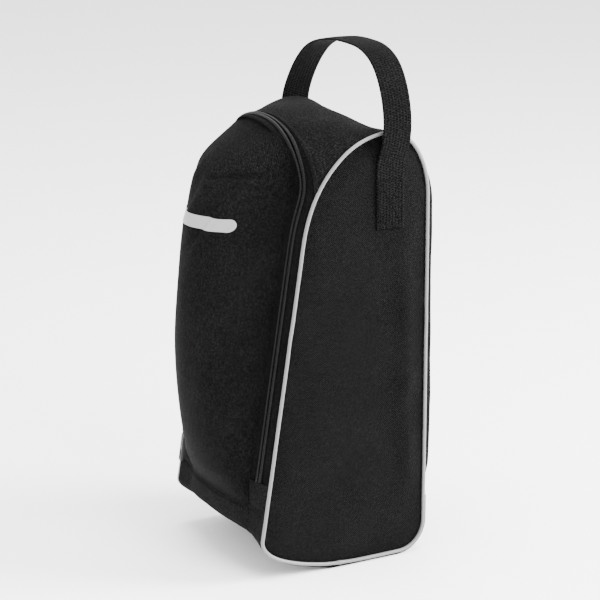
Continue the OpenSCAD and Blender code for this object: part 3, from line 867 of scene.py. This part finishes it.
def seam_tape(name, sign):
    """Ribbed binding folded over the raw edges of the piped seam, inside the bag"""
    line = outline(4.4, 420)
    d = unit(np.roll(line, -1, 0) - np.roll(line, 1, 0))
    inward = np.stack([-d[:, 1], d[:, 0]], 1)
    # the ribbon's cross-section as (distance in from the seam, height over the panel)
    prof = [(1.9, 0.0), (4.0, 0.2), (8.0, 0.5), (9.6, 0.7), (10.0, 1.2), (9.6, 1.7), (8.0, 1.8), (4.0, 1.5),
            (1.9, 1.3)]
    rings = []
    for away, k in prof:
        x = HALF_W - away
        q = line + inward * k
        waver = 0.2 * value_noise(stacked(x, line[:, 0], line[:, 1]), 11, 66)
        rings.append(stacked(sign * x, q[:, 0], q[:, 1]) + waver[:, None] * [1, 0, 0])
    g = np.stack(rings, 1)
    c = len(prof)
    uv = grid_uv(np.arange(c) * 2.0, distances(line))
    faces = loop_faces(len(g), c)
    return make(name, g.reshape(-1, 3), [f if sign < 0 else f[::-1] for f in faces], M_BIND, uv.reshape(-1, 2))


def filler(name, sign):
    """The cord that the piping is wrapped round"""
    line = outline(0, 500)
    p = stacked(sign * HALF_W, line[:, 0], line[:, 1])
    v, f, u = tube(p, 0.8, 8)
    return make(name, v, f, M_CORD, u)


bind_right, bind_left = seam_tape("seam_tape_right", 1), seam_tape("seam_tape_left", -1)
cord_right, cord_left = filler("filler_cord_right", 1), filler("filler_cord_left", -1)

# ------------------------ webbing handle

WEB_W, WEB_T, WEB_Y, WEB_Z0, WEB_Z1 = 25.0, 1.5, 40.0, 272.0, 319.0
LOOP = [(76.7, 320), (79.5, 335), (82, 352), (80, 368), (73, 385), (61.5, 399), (44, 407), (22, 408.5), (0, 407.5),
        (-22, 403.5), (-40, 396), (-55, 384), (-69.6, 367), (-78.2, 350), (-78.8, 336), (-76.7, 320)]


def strap_y(z):
    """Middle of the webbing's width: its sewn ends sit a little nearer the front than the loop"""
    return WEB_Y - 3.5 * (1 - smoothstep(316, 343, z))


def strap_path():
    """Middle line of the webbing as (x, z), from the foot of the right patch to the foot of the left one"""
    z = np.linspace(WEB_Z0, WEB_Z1 - 4, 24)
    right = np.stack([side_x(strap_y(z), z) + 0.2 + WEB_T / 2, z], 1)
    loop = spline(LOOP, np.linspace(0, 1, 200))[4:-4]
    left = right[::-1] * [-1, 1]
    p = np.vstack([right, loop, left])
    p = resample(p, 420)
    k = np.exp(-0.5 * (np.arange(-12, 13) / 4) ** 2)
    q = np.vstack([2 * p[0] - p[12:0:-1], p, 2 * p[-1] - p[-2:-14:-1]])
    return np.stack([np.convolve(q[:, c], k / k.sum(), "valid") for c in (0, 1)], 1)


def handle():
    """The webbing as one strap, from one sewn end over the loop to the other"""
    p = strap_path()
    d = unit(np.gradient(p, axis=0))
    q = np.stack([d[:, 1], -d[:, 0]], 1)                    # outwards
    s = distances(p)
    half = WEB_W / 2
    # cross-section of woven webbing: rounded selvedges and a very slightly hollow face
    prof = [(-1.0, 0.0), (-0.985, 0.62), (-0.95, 1.0), (-0.88, 1.0), (-0.6, 0.94), (-0.2, 0.92), (0.2, 0.92),
            (0.6, 0.94), (0.88, 1.0), (0.95, 1.0), (0.985, 0.62), (1.0, 0.0)]
    prof += [(a, -b) for a, b in prof[-2:0:-1]]
    rings = []
    arch = smoothstep(330, 372, p[:, 1])
    wob = 0.5 * value_noise(stacked(p[:, 0], 0 * s, p[:, 1]), 40, 71)
    for a, b in prof:
        y = strap_y(p[:, 1]) + half * a * (1 - 0.012 * arch) + wob * arch
        curl = 0.5 * arch * a ** 2
        x = p[:, 0] + q[:, 0] * (b * WEB_T / 2 - curl)
        z = p[:, 1] + q[:, 1] * (b * WEB_T / 2 - curl)
        rings.append(stacked(x, y, z))
    g = np.stack(rings, 1)
    u = half * np.array(prof)[:, 0]
    uv = grid_uv(u, s)
    faces = [f[::-1] for f in capped_faces(len(p), len(prof))]
    return make("handle_webbing", g.reshape(-1, 3), faces, M_WEB, uv.reshape(-1, 2)), p


strap, STRAP_PATH = handle()


def box_stitch(name, sign):
    """The sewn rectangle and its crossed diagonals that hold one end of the webbing"""
    z0, z1, y0, y1 = WEB_Z0 + 2.5, WEB_Z0 + 39, WEB_Y - 13.7, WEB_Y + 6.7
    runs = [((y0, z0), (y1, z0)), ((y1, z0), (y1, z1)), ((y1, z1), (y0, z1)), ((y0, z1), (y0, z0)),
            ((y0, z0), (y1, z1)), ((y1, z0), (y0, z1)),
            ((y0 + 1.6, z0 + 1.6), (y1 - 1.6, z0 + 1.6)), ((y0 + 1.6, z1 - 1.6), (y1 - 1.6, z1 - 1.6))]
    parts = []
    for a, b in runs:
        k = np.linspace(0, 1, 30)
        y, z = a[0] + (b[0] - a[0]) * k, a[1] + (b[1] - a[1]) * k
        x = np.interp(z, STRAP_PATH[:200, 1], STRAP_PATH[:200, 0]) + WEB_T / 2 + 0.1
        parts.append(stitches("part", stacked(sign * x, y, z), np.array([sign, 0, 0.0]), 2.9, 2.3, 0.27))
    return join(parts, name)


def join(objects, name):
    bpy.ops.object.select_all(action="DESELECT")
    for o in objects:
        o.select_set(True)
    bpy.context.view_layer.objects.active = objects[0]
    bpy.ops.object.join()
    o = bpy.context.view_layer.objects.active
    o.name = name
    o.data.name = name
    return o


thread_right, thread_left = box_stitch("handle_thread_right", 1), box_stitch("handle_thread_left", -1)

# ------------------------ emblem


def door_at(x, z):
    """Point and normal of the door's outer face at (x, z)"""
    flat = DOOR[..., [0, 2]].reshape(-1, 2)
    k = int(np.argmin(((flat - [x, z]) ** 2).sum(1)))
    i, j = divmod(k, DOOR.shape[1])
    i, j = min(max(i, 1), DOOR.shape[0] - 2), min(max(j, 1), DOOR.shape[1] - 2)
    p = DOOR[i, j]
    ex, ez = DOOR[i, j + 1] - DOOR[i, j - 1], DOOR[i + 1, j] - DOOR[i - 1, j]
    a = np.linalg.solve(np.array([[ex[0], ez[0]], [ex[2], ez[2]]]), np.array([x - p[0], z - p[2]]))
    return p + a[0] * ex + a[1] * ez, DOOR_N[i, j]


EMBLEM_Z, EMBLEM_W, EMBLEM_H = 278.0, 76.0, 10.0


def emblem():
    """A plain bar with round ends, printed on the door"""
    n, m, r = 90, 19, EMBLEM_H / 2
    g = []
    for i in range(m):
        d = -r * math.cos(math.radians(4 + 172 * i / (m - 1)))
        w = EMBLEM_W / 2 - r + math.sqrt(r * r - d * d)
        row = []
        for k in range(n):
            p, nn = door_at(w * (2 * k / (n - 1) - 1), EMBLEM_Z + d)
            edge = 0 < i < m - 1 and 0 < k < n - 1
            row.append(p + nn * (0.40 if edge else 0.1))
        g.append(row)
    return sheet("emblem_print", np.array(g), M_SILVER, 0.25, outward=np.array([0, -1.0, 0]))


emblem_print = emblem()

# ------------------------ slider and pull

SLIDER_Z = 89.0                                         # height of the slider's foot when the zip is closed
SIDE_TURN = math.atan(EDGE_STEP / (BAND_X - DOOR_W))
SLIDER_P = (stacked(-BAND_X, front_y(SLIDER_Z), SLIDER_Z)
            + stacked(-DOOR_W, front_y(SLIDER_Z) - EDGE_STEP, SLIDER_Z)) / 2


def on_left_leg(p):
    """From the slider's own upright frame (x across, -y outwards, z along the zip) to the bag's"""
    p = np.asarray(p, float)
    c, s = math.cos(-SIDE_TURN), math.sin(-SIDE_TURN)
    x, y, z = p[..., 0] * c - p[..., 1] * s, p[..., 0] * s + p[..., 1] * c, p[..., 2]
    c, s = math.cos(-LEAN), math.sin(-LEAN)
    return np.stack([x, y * c - z * s, y * s + z * c], -1) + SLIDER_P


def rounded(name, v, faces, mat, width, segments, merge=0.0):
    """A closed solid with its edges rounded; merge is the distance in metres at which points are made one"""
    o = make(name, v, faces, mat)
    bpy.ops.object.select_all(action="DESELECT")
    o.select_set(True)
    bpy.context.view_layer.objects.active = o
    bpy.ops.object.mode_set(mode="EDIT")
    bpy.ops.mesh.select_all(action="SELECT")
    if merge:
        bpy.ops.mesh.remove_doubles(threshold=merge)
    bpy.ops.mesh.normals_make_consistent(inside=False)
    bpy.ops.object.mode_set(mode="OBJECT")
    b = o.modifiers.new("round", "BEVEL")
    b.width = width * MM
    b.segments = segments
    b.limit_method = "ANGLE"
    b.angle_limit = math.radians(35)
    bpy.ops.object.modifier_apply(modifier="round")
    o.data.polygons.foreach_set("use_smooth", [True] * len(o.data.polygons))
    return o


def solid(rings):
    """Verts, faces and uvs of a closed solid through equal rings of points, standing on the left leg of the zip"""
    r = np.array(rings, float)
    k, c = r.shape[:2]
    return on_left_leg(r).reshape(-1, 3), capped_faces(k, c), np.zeros((k * c, 2))


def plate(points, y0, y1):
    return [[(x, y0, z) for x, z in points], [(x, y1, z) for x, z in points]]


def block(x0, x1, y0, y1, z0, z1):
    return plate([(x0, z0), (x1, z0), (x1, z1), (x0, z1)], y0, y1)


SL, SH, TOP_Y, LOW_Y, PLATE_T = 14.0, 4.5, 2.2, 1.4, 1.3
BAR_Y, BAR_Z, LINK_L, TAB_L = 5.1, 4.2, 9.0, 26.0


def plate_outline():
    side = [(SH, 0.8), (SH, 4.5), (SH - 0.12, 7.5), (SH - 0.5, 10.5), (SH - 1.3, 13.2), (SH - 2.4, SL)]
    return [(1 - SH, 0), (SH - 1, 0)] + side + [(-x, z) for x, z in side[::-1]]


def slider_shell():
    """Two plates, the flanges at both sides and the divider between them"""
    shape = plate_outline()
    v, f, _ = joined([solid(rings) for rings in (
        plate(shape, -TOP_Y - PLATE_T, -TOP_Y), plate(shape, LOW_Y, LOW_Y + PLATE_T),
        block(SH - 0.9, SH - 0.02, -TOP_Y - 0.2, -0.7, 0.6, 9.8),
        block(0.02 - SH, 0.9 - SH, -TOP_Y - 0.2, -0.7, 0.6, 9.8),
        block(-0.33, 0.33, -TOP_Y - 0.2, LOW_Y + 0.2, 1, 5))])
    return rounded("slider_shell", v, f, M_METAL, 0.3, 3)


slider = slider_shell()


def ring_quads(n, pairs):
    """Faces of a band through an outer and an inner outline of n points on two flat faces, for neighbours k and j"""
    m = 2 * n
    return [q for k, j in pairs for q in ([k, j, m + j, m + k], [n + j, n + k, m + n + k, m + n + j],
                                          [j, k, n + k, n + j], [m + k, m + j, m + n + j, m + n + k])]


def corners(centres, steps=6):
    """An outline with a rounded corner for each (x, z, first angle, radius)"""
    return [(cx + r * math.cos(a), cz + r * math.sin(a))
            for cx, cz, a0, r in centres for a in np.radians(np.linspace(a0, a0 + 90, steps))]


def bail():
    """An arched bridge on the slider's face, open from side to side"""
    h, z0, z1 = 3.2, BAR_Z, BAR_Z + 7.4
    base = -TOP_Y - PLATE_T + 0.15
    y_mid = -(TOP_Y + PLATE_T + h / 2)
    out, inn = [], []
    for a in np.radians(np.linspace(-90, 90, 13)):
        out.append((y_mid - h / 2 * math.sin(a), z0 - h / 2 * math.cos(a)))
        inn.append((y_mid - (h / 2 - 0.6) * math.sin(a), z0 - (h / 2 - 0.6) * math.cos(a)))
    out += [(y_mid - h / 2, z1 - 1.6), (y_mid - h / 2 + 0.5, z1 - 0.5), (base, z1)]
    inn += [(y_mid - h / 2 + 0.6, z1 - 2.0), (y_mid - h / 2 + 0.9, z1 - 1.5), (base - 0.4, z1 - 1.4)]
    n = len(out)
    m = 2 * n
    v = on_left_leg(np.array([(x, *q) for x in (-1.0, 1.0) for q in out + inn]))
    faces = ring_quads(n, [(k, k + 1) for k in range(n - 1)])
    faces += [[0, n, m + n, m], [n - 1, m + n - 1, m + 2 * n - 1, 2 * n - 1]]
    return rounded("slider_bridge", v, faces, M_METAL, 0.15, 2, 1e-6)


slider_bridge = bail()


def link():
    """A wire ring, bent to a rounded oblong"""
    x, z0, z1, r = 2.8, BAR_Z - LINK_L, BAR_Z, 0.78
    bends = corners([(x - r, z0 + r, 270, r), (x - r, z1 - r, 0, r), (r - x, z1 - r, 90, r),
                     (r - x, z0 + r, 180, r)], 7)
    pts = resample(np.array([(a, -BAR_Y, b) for a, b in bends]), 60, True)
    v, f, u = tube(on_left_leg(pts), 0.68, 12, up=(0.3, -1, 0.1))
    return make("pull_wire", v, f, M_METAL, u)


pull_wire = link()


def pierced(v, n):
    """Verts, faces and uvs of a flat ring; v holds its outer and inner outline of n points, for each of its faces"""
    return on_left_leg(np.array(v)), ring_quads(n, [(k, (k + 1) % n) for k in range(n)]), np.zeros((len(v), 2))


def pull_tab():
    """A moulded pull: an eye round the link, a neck, and a flat grip with a slot near its end"""
    eye_z, n = BAR_Z - LINK_L, 20
    eye = [(-BAR_Y - r * math.sin(a), eye_z + r * math.cos(a)) for r in (1.75, 1.02) for a in round_turn(n)]
    parts = [pierced([(x, *q) for x in (-1.5, 1.5) for q in eye], n)]
    # grip and its slot
    zt, zb, w = eye_z - 3.2, eye_z - TAB_L, 3.2
    grip = corners([(w - 1.2, zt - 1.2, 0, 1.2), (1.2 - w, zt - 1.2, 90, 1.2), (2.0 - w, zb + 2.0, 180, 2.0),
                    (w - 2.0, zb + 2.0, 270, 2.0)])
    z0, z1, sw = zb + 2.2, zb + 9.2, 1.6
    slot = corners([(sw - 0.7, z1 - 0.7, 0, 0.7), (0.7 - sw, z1 - 0.7, 90, 0.7), (0.7 - sw, z0 + 0.7, 180, 0.7),
                    (sw - 0.7, z0 + 0.7, 270, 0.7)])
    parts.append(pierced([(x, y, z) for y in (-BAR_Y - 1.1, -BAR_Y + 1.1) for x, z in grip + slot], len(grip)))
    # neck and three grip ridges
    parts.append(solid(block(-1.4, 1.4, -BAR_Y - 1.0, -BAR_Y + 1.0, eye_z - 3.6, eye_z - 1.3)))
    for z in (7, 9.5, 12):
        parts.append(solid(block(-2.5, 2.5, -BAR_Y - 1.4, -BAR_Y - 0.9, eye_z - z - 0.5, eye_z - z + 0.5)))
    v, f, _ = joined(parts)
    return rounded("pull_grip", v, f, M_PULL, 0.22, 2, 1e-6)


pull_grip = pull_tab()

# ------------------------ seams on the body


def base_front_seam():
    x = np.linspace(-BAND_X + 3, BAND_X - 3, 90)
    line = stacked(x, front_y(SEAM_Z) - BASE_OUT - 0.9 - base_bulge(x, SEAM_Z - 3.0), SEAM_Z - 3.0)
    return stitches("stitching_base_front", line, np.array([0, -1.0, 0.1]))


def base_rear_seam():
    x = np.linspace(-BAND_X + 3, BAND_X - 3, 90)
    line = stacked(x, 76.1, REAR_SEAM_Z - 3.0)
    return stitches("stitching_base_rear", line, np.array([0, 1.0, 0.0]))


st_base_front, st_base_rear = base_front_seam(), base_rear_seam()

# ------------------------ what rides on what

for o in (side_right, side_left, back_top, base, tape_out, coil_out, st_zip_frame, st_coil_frame, hem_top,
          tab_right, tab_left, pipe_right, pipe_left, bind_right, bind_left, cord_right, cord_left,
          thread_right, thread_left, st_base_front, st_base_rear):
    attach(o, "body")
for o in (door, tape_in, coil_in, st_zip_door, st_coil_door, hem_door):
    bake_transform(o)
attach(emblem_print, "door")
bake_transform(strap)
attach(slider, "slider")
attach(slider_bridge, "slider")
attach(pull_wire, "pull_link")
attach(pull_grip, "pull_tab")

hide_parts("side_panel_right")
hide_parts("side_panel_left")
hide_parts("back_top_panel")
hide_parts("base_panel")
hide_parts("zip_end_tabs")
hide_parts("door_panel", "door_foot")
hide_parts("zip_tape_outer")
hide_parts("zip_coil_outer")
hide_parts("zip_tape_inner", "zip_tape_inner_foot")
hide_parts("zip_coil_inner", "zip_coil_inner_foot")
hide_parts("piping_right")
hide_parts("piping_left")
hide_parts("seam_binding_right")
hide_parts("seam_binding_left")
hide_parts("piping_cord_right")
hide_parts("piping_cord_left")
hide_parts("handle_loop", "handle_end_right", "handle_end_left")
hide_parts("handle_stitching_right")
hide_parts("handle_stitching_left")
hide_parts("emblem")
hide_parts("slider_body")
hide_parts("slider_bail")
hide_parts("pull_link")
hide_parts("pull_tab")

# ------------------------ floor, light and camera


def floor():
    m = Nodes("floor")
    n = m.noise(3, 3)
    m.set(m.bsdf.inputs["Base Color"], m.ramp(n, [(0.2, (0.95, 0.95, 0.952)), (0.8, (0.965, 0.965, 0.967))]))
    m.bsdf.inputs["Roughness"].default_value = 0.7
    me = bpy.data.meshes.new("floor")
    s = 6.0
    me.from_pydata([(-s, -s, 0), (s, -s, 0), (s, s, 0), (-s, s, 0)], [], [[0, 1, 2, 3]])
    me.materials.append(m.mat)
    o = placed("floor", me)
    o.location.z = -0.0004


floor()


def light(name, where, target, size, power):
    l = bpy.data.lights.new(name, "AREA")
    l.shape = "DISK"
    l.size = size
    l.energy = power
    o = placed(name, l)
    o.location = where
    o.rotation_euler = (Vector(target) - Vector(where)).to_track_quat("-Z", "Y").to_euler()


light("key", (1.5, 0.2, 1.5), (0, 0, 0.2), 1.2, 60)
light("front", (-0.6, -1.9, 1.1), (0, 0, 0.2), 1.2, 24)
light("back", (0.9, 1.6, 1.0), (0, 0, 0.2), 0.9, 190)
light("top", (0, 0, 2.2), (0, 0, 0.2), 1.4, 80)

world = bpy.data.worlds.new("studio")
world.use_nodes = True
world.node_tree.nodes["Background"].inputs["Color"].default_value = (1, 1, 1, 1)
world.node_tree.nodes["Background"].inputs["Strength"].default_value = 2.2
bpy.context.scene.world = world

CAM_AZ, CAM_EL, CAM_DIST = math.radians(61), math.radians(16), 1.868
AIM = Vector((0, 0.0011, 0.2002))
cam = bpy.data.cameras.new("camera")
cam.lens = 141
cam.sensor_width = 36
cam_o = placed("camera", cam)
back = Vector((math.sin(CAM_AZ) * math.cos(CAM_EL), -math.cos(CAM_AZ) * math.cos(CAM_EL), math.sin(CAM_EL)))
cam_o.location = AIM + back * CAM_DIST
cam_o.rotation_euler = (-back).to_track_quat("-Z", "Y").to_euler()
bpy.context.scene.camera = cam_o
